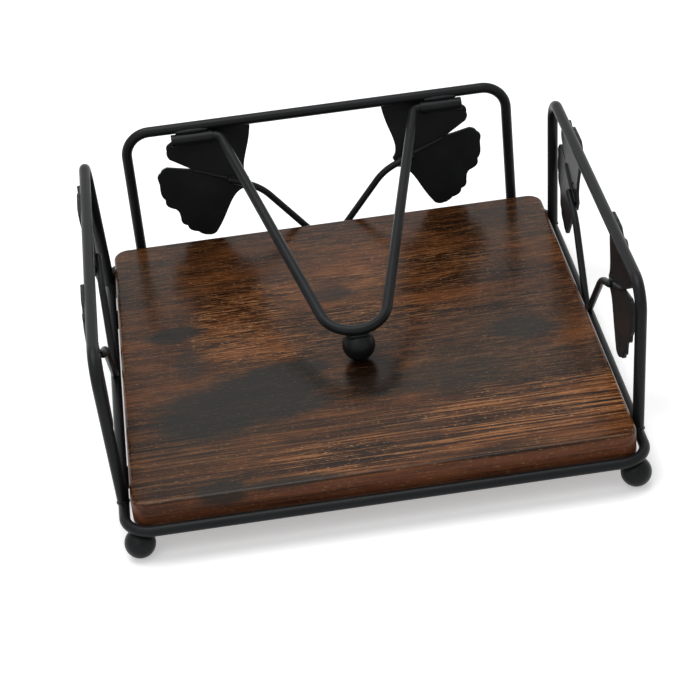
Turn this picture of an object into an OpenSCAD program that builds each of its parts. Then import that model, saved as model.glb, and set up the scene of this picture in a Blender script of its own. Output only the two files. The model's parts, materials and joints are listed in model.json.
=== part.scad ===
// Flat napkin holder.
// A wood board lies inside a wire ring that stands on four ball feet. Three
// wire hoops with pairs of ginkgo leaves close the back and both sides, and the
// front is open. A V-shaped wire arm with a ball at its bend hangs in two
// sleeves below the back rail and presses the stack of napkins down.

/* [Base ring] */
// Left to right, between the wire's centres
ring_w = 186; // [180:1:230]
// Front to back, between the wire's centres
ring_d = 186; // [180:1:230]
// Diameter of the ring's wire
ring_wire = 4; // [3:0.25:5]
// Bend radius of the four corners, at the wire's centre
ring_bend = 10; // [8:0.5:11]

/* [Ball feet] */
// Diameter of each ball foot
foot_d = 11.2; // [9:0.2:16]
// Distance of each foot's centre inside the ring's runs
foot_inset = 4.2; // [3.5:0.1:4.8]
// Depth that the ring sinks into each foot at its weld
foot_sink = 0.3; // [0.1:0.1:0.8]

/* [Hoops] */
// Height of the top rails above the floor, at the wire's centre
hoop_top = 72; // [68:1:100]
// Diameter of the hoops' wire
hoop_wire = 4.25; // [3.5:0.25:5.5]
// Bend radius of the upper corners, at the wire's centre
hoop_bend = 10; // [6:0.5:14]
// Distance from each leg of the back hoop to the ring's nearer side run
back_leg_inset = 14.5; // [12.5:0.5:18]
// Distance from the front leg of each side hoop to the ring's front run
front_leg_inset = 18.5; // [13:0.5:22]
// Distance from the rear leg of each side hoop to the ring's back run
rear_leg_inset = 15; // [12.5:0.5:18]
// Outward lean of every hoop, in degrees
splay = 2; // [0:0.5:5]

/* [Leaves] */
// Thickness of the leaf plates
leaf_t = 1.2; // [0.8:0.1:2]
// Distance from a leaf's base to the tips beside its notch
leaf_reach = 38; // [32:0.5:40]
// Distance from a leaf's base to its outermost corner
leaf_corner_reach = 28; // [22:0.5:30]
// Distance from a leaf's base to the bottom of its notch
leaf_notch_reach = 23.5; // [18:0.5:28]
// Half of the angle that a leaf spreads over, in degrees
leaf_spread = 75; // [65:1:78]
// Half of the angle of the notch, in degrees
notch_spread = 4; // [3:0.5:8]
// Depth of the rounding of a lobe beside the notch
tip_drop = 3; // [0:0.25:5]
// Number of scallops along the edge of one lobe
scallop_count = 9; // [4:1:12]
// Depth of the dips between the scallops
scallop_depth = 0.8; // [0.4:0.1:1.6]
// Depth of the wide bay in the middle of a lobe
bay_depth = 2; // [0:0.25:3]
// Width of the leaf where it meets its stem
neck_w = 4.6; // [3:0.2:6]
// Diameter of the raised vein along the middle of a leaf
vein_d = 1.5; // [1:0.1:2]
// Slope of a leaf's middle line, in degrees
leaf_slope = 22.5; // [18:0.5:30]
// Height of a leaf's base above the ring's wire centre
leaf_base_h = 30; // [27:0.5:32]
// Distance of each back leaf's base from the middle of its pair
back_base_x = 31; // [29:0.5:34]
// Distance of each side leaf's base from the middle of its pair
side_base_x = 29; // [28.5:0.5:32]
// Gap between the rear leg of a side hoop and the tip of the leaf beside it
rear_leaf_gap = 0.3; // [0.2:0.1:3]

/* [Stems] */
// Diameter of the stems' wire
stem_wire = 2.8; // [2:0.1:3]
// Length of stem that is welded along the leaf
stem_lap = 9; // [5:0.5:12]
// Bend radius of a stem, at the wire's centre
stem_bend = 22; // [15:1:28]
// Slope of the straight foot of a stem, in degrees
stem_slope = 51; // [49:1:60]

/* [Board] */
// Thickness of the board
board_t = 11.5; // [8:0.5:18]
// Gap between the board and the ring's wire, all round
board_gap = 1; // [0.75:0.25:3]
// Radius of the board's four corners, seen from above
board_corner = 6; // [5:0.5:20]
// Radius of the board's rounded arrises
board_arris = 1.5; // [1:0.25:3.5]

/* [Board straps and screws] */
// Width of each strap that carries the board
strap_w = 12; // [10:1:20]
// Thickness of each strap
strap_t = 1.5; // [1:0.25:2]
// Distance of each strap's middle line from the middle of the board
strap_y = 55; // [30:1:60]
// Distance of each screw from the middle of the strap
screw_x = 60; // [30:1:70]
// Diameter of a screw's shank
screw_d = 3.5; // [3:0.1:4.5]
// Depth that a screw reaches into the board
screw_bite = 7; // [5:0.5:7]
// Diameter of a screw's head
screw_head_d = 7; // [6:0.2:9]
// Height of a screw's head
screw_head_h = 2.2; // [1.6:0.1:2.8]

/* [Press arm] */
// Diameter of the arm's wire
arm_wire = 4; // [3:0.1:4.2]
// Distance from the hinge axis to the bottom of the arm's round bend
arm_reach = 116; // [95:1:130]
// Distance between the arm's legs where they leave the hinge axis
arm_w = 80; // [60:1:90]
// Radius of the round bend that carries the ball, at the wire's centre
arm_bend = 13; // [8:0.5:16]
// Radius of the bends between legs and hinge pins, at the wire's centre
pin_bend = 3; // [2.5:0.25:5]
// Diameter of the ball under the arm
ball_d = 12.5; // [10:0.5:16]
// Depth that the arm's wire sinks into the ball at its weld
ball_sink = 0.3; // [0.1:0.1:0.8]
// Gap between the ball and the board when the arm is down
rest_gap = 0.3; // [0.2:0.1:1]

/* [Hinge sleeves] */
// Length of each sleeve
sleeve_len = 17; // [12:0.5:18]
// Wall of each sleeve
sleeve_wall = 0.45; // [0.4:0.05:0.8]
// Clearance between pin and sleeve, on the radius
pin_clear = 0.05; // [0.02:0.01:0.08]
// Clearance between a sleeve's inner end and the arm's bend
sleeve_end_gap = 0.4; // [0.3:0.1:1]
// Distance that each pin stops short of its sleeve's outer end
pin_short = 1; // [0.5:0.25:2]
// Gap between a sleeve and the rail, which the weld fills
sleeve_gap = 0.3; // [0.2:0.05:0.6]
// Direction from the rail to a sleeve, in degrees below the horizontal, forwards
sleeve_slope = 56; // [45:1:70]
// Length of the weld between a sleeve and the rail
weld_len = 13; // [8:0.5:15]
// Width of that weld across the crease
weld_w = 3.6; // [2:0.2:4.4]

/* [Hidden] */
$fn = 48;

wire_black = [0.12, 0.12, 0.13];
wood_brown = [0.42, 0.27, 0.18];
screw_grey = [0.45, 0.45, 0.46];

// Welded pieces lie this far apart, so that each stays its own solid
weld_gap = 0.05;
// A coped wire end reaches this far down round the wire that carries it
cope_h = 0.3 * ring_wire;
// How far a tool solid runs past the faces that it cuts
past = 1;
// A bent wire is this much thicker over this length, where a run meets a bend
joint_swell = 0.06;
joint_len = 0.4;

// Heights
ring_z = foot_d + ring_wire / 2 - foot_sink;
board_z = ring_z - ring_wire / 2 - weld_gap;
board_top = board_z + board_t;

rail_h = (hoop_top - ring_z) / cos(splay);

// Board
board_half_x = (ring_w - ring_wire) / 2 - board_gap;
board_half_y = (ring_d - ring_wire) / 2 - board_gap;

// Hoops
back_hoop_w = ring_w - 2 * back_leg_inset;
side_hoop_w = ring_d - front_leg_inset - rear_leg_inset;
side_hoop_shift = (front_leg_inset - rear_leg_inset) / 2;

// The stems stand in the plane of their hoop. A leaf lies on its stem and on the
// thicker rail, so it leans a little more than the hoop
leaf_lean = asin((hoop_wire - stem_wire) / 2 / (rail_h - leaf_base_h));
leaf_off = stem_wire / 2 + weld_gap;

// Hinge
sleeve_bore = arm_wire + 2 * pin_clear;
sleeve_d = sleeve_bore + 2 * sleeve_wall;
hinge_off = hoop_wire / 2 + sleeve_gap + sleeve_d / 2;
rail_y = ring_d / 2 + rail_h * sin(splay);
hinge_y = rail_y - hinge_off * cos(sleeve_slope);
hinge_z = hoop_top - hinge_off * sin(sleeve_slope);

// Arm: its V angle follows from the reach, the width and the round bend
bend_centre = arm_reach - arm_bend;
arm_half = arm_w / 2;
leg_angle = atan2(arm_half, bend_centre) - asin(arm_bend / norm([arm_half, bend_centre]));
pin_turn = 90 - leg_angle;
pin_start = arm_half + pin_bend * tan(pin_turn / 2);
sleeve_x = pin_start + sleeve_end_gap;
pin_end = sleeve_x + sleeve_len - pin_short;
ball_off = (ball_d + arm_wire) / 2 - ball_sink;
ball_drop = hinge_z - board_top - rest_gap - ball_d / 2;
arm_angle = asin(ball_drop / norm([arm_reach, ball_off])) - atan2(ball_off, arm_reach);

// ---------- wires ----------

// Straight wire between two points of the XY plane
module straight_wire(from, to, wire) {
    run = to - from;
    translate([from.x, from.y, 0])
        rotate([0, 0, atan2(run.y, run.x)])
            rotate([0, 90, 0])
                cylinder(d = wire, h = norm(run));
}

// Wire bent round a centre in the XY plane
module bent_wire(centre, bend, from, sweep, wire) {
    translate([centre.x, centre.y, 0])
        rotate([0, 0, from])
            rotate_extrude(angle = sweep)
                translate([bend, 0])
                    circle(d = wire);
}

// Place where a straight run and a bend of one wire meet, along the run
module wire_joint(at, along, wire) {
    translate([at.x, at.y, 0])
        rotate([0, 0, along])
            rotate([0, 90, 0])
                cylinder(d = wire + joint_swell, h = joint_len, center = true);
}

// Turns a shape of the XY plane upright, so that its Y becomes height
module upright() {
    rotate([90, 0, 0]) children();
}

// Places a shape in the leaning plane of a hoop: X along the hoop, Y outwards
module on_hoop(turn, run, shift) {
    rotate([0, 0, turn])
        translate([shift, run / 2, ring_z])
            rotate([-splay, 0, 0])
                children();
}

module on_back() on_hoop(0, ring_d, 0) children();
module on_right(shift) on_hoop(-90, ring_w, -shift) children();
module on_left(shift) on_hoop(90, ring_w, shift) children();

// The run of the ring below a hoop, with the gap of a weld round it
module ring_run() {
    rotate([0, 90, 0])
        cylinder(d = ring_wire + 2 * weld_gap, h = ring_w, center = true);
}

// ---------- ring and feet ----------

module ring_corner(sx, sy, wire) {
    centre = [sx * (ring_w / 2 - ring_bend), sy * (ring_d / 2 - ring_bend)];
    start = sx > 0 ? (sy > 0 ? 0 : -90) : (sy > 0 ? 90 : 180);
    translate([0, 0, ring_z])
        bent_wire(centre, ring_bend, start, 90, wire);
}

module base_ring() {
    x = ring_w / 2;
    y = ring_d / 2;
    color(wire_black) {
        for (sx = [-1, 1], sy = [-1, 1])
            ring_corner(sx, sy, ring_wire);
        translate([0, 0, ring_z]) {
            for (sy = [-1, 1])
                straight_wire([ring_bend - x, sy * y], [x - ring_bend, sy * y], ring_wire);
            for (sx = [-1, 1])
                straight_wire([sx * x, ring_bend - y], [sx * x, y - ring_bend], ring_wire);
        }
    }
}

// Ball under a corner of the ring; its poles point to the front and the back,
// clear of the place where the ring's wire sinks in
module foot(sx, sy) {
    color(wire_black)
        difference() {
            translate([sx * (ring_w / 2 - foot_inset), sy * (ring_d / 2 - foot_inset), foot_d / 2])
                rotate([90, 0, 0])
                    sphere(d = foot_d);
            ring_corner(sx, sy, ring_wire + 2 * weld_gap);
        }
}

// ---------- hoops ----------

// Upside-down U of wire, coped at both ends to sit on the ring
module hoop(width) {
    half = width / 2;
    leg_top = rail_h - hoop_bend;
    color(wire_black)
        difference() {
            upright() {
                straight_wire([-half, cope_h], [-half, leg_top], hoop_wire);
                straight_wire([half, cope_h], [half, leg_top], hoop_wire);
                straight_wire([hoop_bend - half, rail_h], [half - hoop_bend, rail_h], hoop_wire);
                bent_wire([half - hoop_bend, leg_top], hoop_bend, 0, 90, hoop_wire);
                bent_wire([hoop_bend - half, leg_top], hoop_bend, 90, 90, hoop_wire);
            }
            ring_run();
        }
}

// ---------- leaves ----------

// Edge of a lobe in polar form: it falls from the notch to the corner, with
// scallops all along, one wider bay in the middle and a rounding at the notch
lobe_steps = 4 * scallop_count;
// Share of the edge that the rounding at the notch takes
tip_share = 0.12;
// The higher this power, the narrower the bay
bay_power = 8;
function lobe_radius(t) =
    leaf_reach + (leaf_corner_reach - leaf_reach) * t
    + scallop_depth * abs(sin(180 * scallop_count * t))
    - bay_depth * pow(sin(180 * t), bay_power)
    - tip_drop * pow(max(0, 1 - t / tip_share), 2);
function lobe_point(t, side) =
    let (a = notch_spread + (leaf_spread - notch_spread) * t)
    lobe_radius(t) * [cos(a), side * sin(a)];

// Side edge of a leaf: a curve from the corner into the narrow neck, which two
// points pull, each a share of the corner's own place
side_steps = 8;
hip_share = [0.62, 0.55];
waist_share = [0.8, 0.2];
function blend(a, b, c, d, t) =
    pow(1 - t, 3) * a + 3 * t * pow(1 - t, 2) * b + 3 * t * t * (1 - t) * c + pow(t, 3) * d;
function side_point(t, side) =
    let (
        corner = lobe_point(1, 1),
        hip = [hip_share.x * corner.x, hip_share.y * corner.y],
        waist = [waist_share.x * corner.x, waist_share.y * corner.y],
        neck = [0, neck_w / 2],
        p = blend(corner, hip, waist, neck, t)
    )
    [p.x, side * p.y];

module leaf_outline() {
    polygon(concat(
        [[leaf_notch_reach, 0]],
        [for (i = [0 : lobe_steps]) lobe_point(i / lobe_steps, 1)],
        [for (i = [1 : side_steps]) side_point(i / side_steps, 1)],
        [for (i = [side_steps : -1 : 1]) side_point(i / side_steps, -1)],
        [for (i = [lobe_steps : -1 : 0]) lobe_point(i / lobe_steps, -1)]
    ));
}

// How far a leaf reaches up and along the rail from its base
lobe_points = [for (side = [-1, 1], i = [0 : lobe_steps]) lobe_point(i / lobe_steps, side)];
leaf_top = max([for (p = lobe_points) p.x * sin(leaf_slope) + p.y * cos(leaf_slope)]);
leaf_span = max([for (p = lobe_points) p.x * cos(leaf_slope) - p.y * sin(leaf_slope)]);

// The rear leaf of a side hoop ends beside the hoop's rear leg, and the middle
// of the pair of leaves and stems follows from that
side_pair_shift = side_hoop_w / 2 - hoop_wire / 2 - rear_leaf_gap - leaf_span - side_base_x;
side_pair_y = side_hoop_shift + side_pair_shift;

// Leaf plate outside the rail, with its vein on the inner face
module leaf(side, base_x) {
    vein_start = stem_lap + vein_d;
    color(wire_black)
        mirror([side < 0 ? 1 : 0, 0, 0])
            translate([base_x, 0, leaf_base_h])
                rotate([-leaf_lean, 0, 0])
                    translate([0, leaf_off + leaf_t, 0])
                        upright()
                            rotate([0, 0, leaf_slope]) {
                                linear_extrude(height = leaf_t)
                                    leaf_outline();
                                translate([0, 0, leaf_t])
                                    straight_wire([vein_start, 0], [leaf_notch_reach - vein_d, 0], vein_d);
                            }
}

// ---------- stems ----------

// Stem from the ring to the leaf: a straight foot, one bend, and a lap that is
// welded along the inner face of the leaf
module stem(side, base_x) {
    base = [base_x, leaf_base_h];
    lap_end = base + stem_lap * [cos(leaf_slope), sin(leaf_slope)];
    centre = base + stem_bend * [sin(leaf_slope), -cos(leaf_slope)];
    turn = centre + stem_bend * [-sin(stem_slope), cos(stem_slope)];
    foot = [turn.x - (turn.y - cope_h) / tan(stem_slope), cope_h];
    color(wire_black)
        difference() {
            mirror([side < 0 ? 1 : 0, 0, 0])
                upright() {
                    straight_wire(foot, turn, stem_wire);
                    bent_wire(centre, stem_bend, 90 + leaf_slope, stem_slope - leaf_slope, stem_wire);
                    straight_wire(base, lap_end, stem_wire);
                    wire_joint(turn, stem_slope, stem_wire);
                    wire_joint(base, leaf_slope, stem_wire);
                }
            ring_run();
        }
}

// ---------- board ----------

// Cross-section of the board's rim, from the centre of a corner outwards
module rim_section() {
    translate([0, board_arris])
        square([board_corner, board_t - 2 * board_arris]);
    square([board_corner - board_arris, board_t]);
    for (y = [board_arris, board_t - board_arris])
        translate([board_corner - board_arris, y])
            circle(r = board_arris);
}

module rim_bar(length) {
    rotate([90, 0, 0])
        linear_extrude(height = length, center = true)
            rim_section();
}

module board_body() {
    x = board_half_x - board_corner;
    y = board_half_y - board_corner;
    translate([-x, -y, 0])
        cube([2 * x, 2 * y, board_t]);
    for (s = [-1, 1]) {
        rotate([0, 0, s > 0 ? 0 : 180])
            translate([x, 0, 0])
                rim_bar(2 * y);
        rotate([0, 0, 90 * s])
            translate([y, 0, 0])
                rim_bar(2 * x);
        for (t = [-1, 1])
            translate([s * x, t * y, 0])
                rotate([0, 0, s > 0 ? (t > 0 ? 0 : -90) : (t > 0 ? 90 : 180)])
                    rotate_extrude(angle = 90)
                        rim_section();
    }
}

module at_screws() {
    for (sx = [-1, 1], sy = [-1, 1])
        translate([sx * screw_x, sy * strap_y, board_z])
            children();
}

module board() {
    color(wood_brown)
        difference() {
            translate([0, 0, board_z])
                board_body();
            at_screws()
                translate([0, 0, -past])
                    cylinder(d = screw_d + 2 * weld_gap, h = screw_bite + weld_gap + past);
        }
}

// Flat strap below the board, welded under the left and right runs of the ring
module strap(side) {
    length = ring_w + ring_wire / 2;
    color(wire_black)
        difference() {
            translate([-length / 2, side * strap_y - strap_w / 2, board_z - strap_t])
                cube([length, strap_w, strap_t]);
            at_screws()
                translate([0, 0, -strap_t - past])
                    cylinder(d = screw_d + 2 * weld_gap, h = strap_t + 2 * past);
        }
}

// Screw with a low round head and a cross recess
module screw() {
    dome_r = 0.65 * screw_head_d;
    recess_w = 0.18 * screw_head_d;
    recess_l = 0.6 * screw_head_d;
    recess_h = 0.5 * screw_head_h;
    translate([0, 0, -strap_t])
        cylinder(d = screw_d, h = strap_t + screw_bite);
    translate([0, 0, -strap_t - screw_head_h])
        difference() {
            intersection() {
                cylinder(d = screw_head_d, h = screw_head_h);
                translate([0, 0, dome_r])
                    sphere(r = dome_r);
            }
            for (a = [0, 90])
                rotate([0, 0, a])
                    translate([-recess_l / 2, -recess_w / 2, -past])
                        cube([recess_l, recess_w, recess_h + past]);
        }
}

module board_screws() {
    color(screw_grey)
        at_screws() screw();
}

// ---------- hinge ----------

module on_hinge() {
    translate([0, hinge_y, hinge_z]) children();
}

module sleeve(side) {
    color(wire_black)
        on_hinge()
            mirror([side < 0 ? 1 : 0, 0, 0])
                translate([sleeve_x, 0, 0])
                    rotate([0, 90, 0])
                        difference() {
                            cylinder(d = sleeve_d, h = sleeve_len);
                            translate([0, 0, -past])
                                cylinder(d = sleeve_bore, h = sleeve_len + 2 * past);
                        }
}

// Weld that fills the crease between a sleeve and the rail
module sleeve_weld(side) {
    span = hinge_off - sleeve_gap;
    depth = 0.7 * weld_w;
    color(wire_black)
        on_hinge()
            mirror([side < 0 ? 1 : 0, 0, 0])
                difference() {
                    translate([sleeve_x + (sleeve_len - weld_len) / 2, 0, 0])
                        rotate([sleeve_slope, 0, 0])
                            translate([0, (span - depth) / 2 + sleeve_gap, -weld_w / 2])
                                cube([weld_len, depth, weld_w]);
                    rotate([0, 90, 0])
                        cylinder(d = sleeve_d + 2 * weld_gap, h = ring_w);
                    rotate([sleeve_slope, 0, 0])
                        translate([0, hinge_off, 0])
                            rotate([0, 90, 0])
                                cylinder(d = hoop_wire + 2 * weld_gap, h = ring_w);
                }
}

// ---------- press arm ----------

// Places a shape in the arm's own plane: Y along its reach, Z towards the board
module on_arm() {
    on_hinge()
        rotate([180 + arm_angle, 0, 0])
            children();
}

module arm_round_bend(wire) {
    bent_wire([0, bend_centre], arm_bend, leg_angle, 180 - 2 * leg_angle, wire);
}

module arm_leg() {
    corner = [arm_half, 0];
    down = [-sin(leg_angle), cos(leg_angle)];
    leg_top = corner + pin_bend * tan(pin_turn / 2) * down;
    leg_foot = [0, bend_centre] + arm_bend * [cos(leg_angle), sin(leg_angle)];
    straight_wire(leg_top, leg_foot, arm_wire);
    bent_wire([pin_start, pin_bend], pin_bend, 180 + leg_angle, pin_turn, arm_wire);
    straight_wire([pin_start, 0], [pin_end, 0], arm_wire);
    for (at = [leg_top, leg_foot])
        wire_joint(at, 90 + leg_angle, arm_wire);
    wire_joint([pin_start, 0], 0, arm_wire);
}

module press_arm() {
    color(wire_black)
        on_arm() {
            arm_round_bend(arm_wire);
            arm_leg();
            mirror([1, 0, 0]) arm_leg();
        }
}

module arm_ball() {
    color(wire_black)
        on_arm()
            difference() {
                translate([0, arm_reach, ball_off])
                    sphere(d = ball_d);
                arm_round_bend(arm_wire + 2 * weld_gap);
            }
}

// ---------- nodes ----------

// The ring reaches further forward than the back leaves do back, and the middle
// of the two is the part's own origin
back_tilt = splay + leaf_lean;
leaf_base_y = ring_d / 2 + leaf_base_h * sin(splay);
back_reach = leaf_base_y + (leaf_off + leaf_t) * cos(back_tilt) + leaf_top * sin(back_tilt);
front_reach = (ring_d + ring_wire) / 2;
middle_y = (back_reach - front_reach) / 2;
module placed() {
    translate([0, -middle_y, 0]) children();
}

placed() base_ring();
placed() foot(-1, -1);  // foot_front_left
placed() foot(1, -1);  // foot_front_right
placed() foot(-1, 1);  // foot_back_left
placed() foot(1, 1);  // foot_back_right
placed() on_back() hoop(back_hoop_w);  // back_hoop
placed() on_left(side_hoop_shift) hoop(side_hoop_w);  // left_hoop
placed() on_right(side_hoop_shift) hoop(side_hoop_w);  // right_hoop
placed() on_back() leaf(-1, back_base_x);  // leaf_back_left
placed() on_back() leaf(1, back_base_x);  // leaf_back_right
placed() on_left(side_pair_y) leaf(-1, side_base_x);  // leaf_left_front
placed() on_left(side_pair_y) leaf(1, side_base_x);  // leaf_left_rear
placed() on_right(side_pair_y) leaf(1, side_base_x);  // leaf_right_front
placed() on_right(side_pair_y) leaf(-1, side_base_x);  // leaf_right_rear
placed() on_back() stem(-1, back_base_x);  // stem_back_left
placed() on_back() stem(1, back_base_x);  // stem_back_right
placed() on_left(side_pair_y) stem(-1, side_base_x);  // stem_left_front
placed() on_left(side_pair_y) stem(1, side_base_x);  // stem_left_rear
placed() on_right(side_pair_y) stem(1, side_base_x);  // stem_right_front
placed() on_right(side_pair_y) stem(-1, side_base_x);  // stem_right_rear
placed() board();
placed() strap(-1);  // strap_front
placed() strap(1);  // strap_back
placed() board_screws();
placed() sleeve(-1);  // sleeve_left
placed() sleeve(1);  // sleeve_right
placed() sleeve_weld(-1);  // sleeve_weld_left
placed() sleeve_weld(1);  // sleeve_weld_right
placed() press_arm();
placed() arm_ball();
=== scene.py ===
# %% [markdown]
# # A flat napkin holder with a press arm
# The real object is a wood board in a ring of black wire. Three wire hoops with
# ginkgo leaves stand round it, and a V-shaped wire arm with a ball at its bend
# presses the napkins down. The sizes, the hinge and the places of all pieces
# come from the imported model. Here the pieces get the shape and the finish that
# the eye sees: round bent wire, weld beads, cut leaf plates and stained wood.

# %% Load the frame
import json
from math import asin, atan2, cos, degrees, hypot, pi, radians, sin, sqrt, tan

import bmesh
import bpy
from mathutils import Matrix, Vector


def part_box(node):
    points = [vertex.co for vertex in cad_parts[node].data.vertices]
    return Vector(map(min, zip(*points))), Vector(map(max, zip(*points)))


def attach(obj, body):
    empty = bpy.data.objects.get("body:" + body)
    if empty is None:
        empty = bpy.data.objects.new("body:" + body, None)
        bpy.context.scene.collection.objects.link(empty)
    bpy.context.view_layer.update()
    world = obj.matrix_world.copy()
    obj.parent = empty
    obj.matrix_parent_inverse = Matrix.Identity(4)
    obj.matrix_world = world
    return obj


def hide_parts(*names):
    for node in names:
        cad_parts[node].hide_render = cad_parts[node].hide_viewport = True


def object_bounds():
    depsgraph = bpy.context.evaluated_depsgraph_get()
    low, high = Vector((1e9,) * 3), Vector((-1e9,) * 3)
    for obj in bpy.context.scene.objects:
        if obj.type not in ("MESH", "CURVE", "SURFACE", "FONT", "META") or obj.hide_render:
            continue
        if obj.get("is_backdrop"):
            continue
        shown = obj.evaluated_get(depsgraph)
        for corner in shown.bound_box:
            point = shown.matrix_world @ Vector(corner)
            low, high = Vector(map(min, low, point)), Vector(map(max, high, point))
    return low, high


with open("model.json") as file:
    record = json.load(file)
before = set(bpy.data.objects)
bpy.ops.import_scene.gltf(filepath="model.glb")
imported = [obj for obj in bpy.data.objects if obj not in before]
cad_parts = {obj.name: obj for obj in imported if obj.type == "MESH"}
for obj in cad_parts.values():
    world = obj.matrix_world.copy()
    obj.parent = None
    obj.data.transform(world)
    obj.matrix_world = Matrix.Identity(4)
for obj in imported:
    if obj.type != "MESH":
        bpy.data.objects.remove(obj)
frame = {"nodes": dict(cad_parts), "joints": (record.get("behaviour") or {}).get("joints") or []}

cad_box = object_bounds()
size_mm = (cad_box[1] - cad_box[0]) * 1000
print("holder: %.1f x %.1f x %.1f mm" % tuple(size_mm))

# %% [markdown]
# ## Sizes
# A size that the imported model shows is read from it, so a piece lands where the
# frame has it. The others, such as the bend of a wire, are named here once. All
# lengths are metres, because that is what Blender and the frame use.

# %% Sizes of the ring and the hoops
MM = 0.001
ring_low, ring_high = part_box("base_ring")
RING_WIRE = ring_high.z - ring_low.z
RING_Z = (ring_low.z + ring_high.z) / 2
RING_Y = (ring_low.y + ring_high.y) / 2
RING_HALF_X = (ring_high.x - ring_low.x - RING_WIRE) / 2
RING_HALF_Y = (ring_high.y - ring_low.y - RING_WIRE) / 2
RING_BEND = 10 * MM

HOOP_WIRE = 4.25 * MM
HOOP_BEND = 10 * MM
HOOP_LEAN = radians(2)
back_low, back_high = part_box("back_hoop")
side_low, side_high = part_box("right_hoop")
RAIL_TOP = back_high.z - HOOP_WIRE / 2
RAIL_H = (RAIL_TOP - RING_Z) / cos(HOOP_LEAN)
BACK_HALF = (back_high.x - back_low.x - HOOP_WIRE) / 2
SIDE_HALF = (side_high.y - side_low.y - HOOP_WIRE) / 2
SIDE_SHIFT = (side_high.y + side_low.y) / 2 - RING_Y
print("ring wire %.2f mm at %.2f mm, rails at %.1f mm"
      % (RING_WIRE / MM, RING_Z / MM, RAIL_TOP / MM))

# %% Sizes of the leaves and their stems
STEM_WIRE = 2.8 * MM
STEM_LAP = 9 * MM
STEM_BEND = 22 * MM
STEM_SLOPE = radians(51)
LEAF_SLOPE = radians(22.5)
LEAF_BASE_H = 30 * MM
BACK_LEAF_X = 31 * MM
SIDE_LEAF_X = 29 * MM
PAIR_SHIFT = (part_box("leaf_right_front")[0].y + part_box("leaf_right_rear")[1].y) / 2 - RING_Y
NOTCH_REACH = 23.5 * MM
WELD_GAP = 0.05 * MM
LEAF_T = 1.2 * MM
LEAF_LEAN = asin((HOOP_WIRE - STEM_WIRE) / 2 / (RAIL_H - LEAF_BASE_H))
LEAF_OFF = STEM_WIRE / 2 + WELD_GAP
print("a leaf leans %.1f degrees off its hoop, onto the rail" % degrees(LEAF_LEAN))

# %% Sizes of the hinge and the arm
hinge = frame["joints"][0]
HINGE = Vector(hinge["pos_m"])
ARM_WIRE = 4 * MM
ARM_REACH = 116 * MM
ARM_HALF = 40 * MM
ARM_BEND = 13 * MM
PIN_BEND = 3 * MM
PIN_SHORT = 1 * MM
BALL_D = 12.5 * MM
BALL_SINK = 0.3 * MM
REST_GAP = 0.3 * MM
sleeve_low, sleeve_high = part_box("sleeve_right")
SLEEVE_D = sleeve_high.z - sleeve_low.z
SLEEVE_X = sleeve_low.x
SLEEVE_END = sleeve_high.x
SLEEVE_BORE = ARM_WIRE + 0.1 * MM
board_low, board_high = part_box("board")
BOARD_TOP = board_high.z

BALL_OFF = (BALL_D + ARM_WIRE) / 2 - BALL_SINK
ball_drop = HINGE.z - BOARD_TOP - REST_GAP - BALL_D / 2
ARM_ANGLE = asin(ball_drop / hypot(ARM_REACH, BALL_OFF)) - atan2(BALL_OFF, ARM_REACH)
bend_y = ARM_REACH - ARM_BEND
LEG_ANGLE = atan2(ARM_HALF, bend_y) - asin(ARM_BEND / hypot(ARM_HALF, bend_y))
print("arm hangs %.1f degrees below level, legs %.1f degrees apart"
      % (degrees(ARM_ANGLE), degrees(2 * LEG_ANGLE)))

# %% [markdown]
# ## Planes
# Each hoop is bent flat and then welded on with a small outward lean, and the
# arm is flat too. So every wire is easiest to lay out in its own plane, as on
# the bench, and one matrix takes the plane to its place. In a hoop's plane X
# runs along the hoop, Y points outwards and Z goes up. In the arm's plane Y
# runs from the hinge to the bend, and Z points towards the board.

# %% The planes of the hoops and of the arm
def hoop_plane(turn, reach, shift):
    """Takes a hoop's own plane to the frame; its origin is on the ring's wire."""
    return (Matrix.Translation((0, RING_Y, 0))
            @ Matrix.Rotation(turn, 4, "Z")
            @ Matrix.Translation((shift, reach, RING_Z))
            @ Matrix.Rotation(-HOOP_LEAN, 4, "X"))


BACK = hoop_plane(0, RING_HALF_Y, 0)
RIGHT = hoop_plane(-pi / 2, RING_HALF_X, -SIDE_SHIFT)
LEFT = hoop_plane(pi / 2, RING_HALF_X, SIDE_SHIFT)
RIGHT_PAIR = hoop_plane(-pi / 2, RING_HALF_X, -PAIR_SHIFT)
LEFT_PAIR = hoop_plane(pi / 2, RING_HALF_X, PAIR_SHIFT)
ARM = Matrix.Translation(HINGE) @ Matrix.Rotation(pi + ARM_ANGLE, 4, "X")

# %% [markdown]
# ## Arithmetic in node trees
# Both the shapes and the finishes below are node trees. A formula with ten Math
# nodes is hard to read as code, so a Field wraps a socket and answers to plain
# plus, minus and times by adding the right Math node. The tree that comes out is
# the same as one that is wired by hand.

# %% Fields and a short way to add a node
def plug(tree, socket, value):
    """Links a socket to a field or another socket, or sets it to a plain value."""
    if isinstance(value, Field):
        value = value.socket
    if isinstance(value, bpy.types.NodeSocket):
        tree.links.new(value, socket)
    else:
        socket.default_value = value


def add(tree, kind, inputs=None, **settings):
    """Adds one node with its settings and inputs."""
    node = tree.nodes.new(kind)
    for name, value in settings.items():
        setattr(node, name, value)
    for key, value in (inputs or {}).items():
        plug(tree, node.inputs[key], value)
    return node


def calc(tree, operation, *values):
    node = add(tree, "ShaderNodeMath", operation=operation)
    for socket, value in zip(node.inputs, values):
        plug(tree, socket, value)
    return Field(tree, node.outputs[0])


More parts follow.
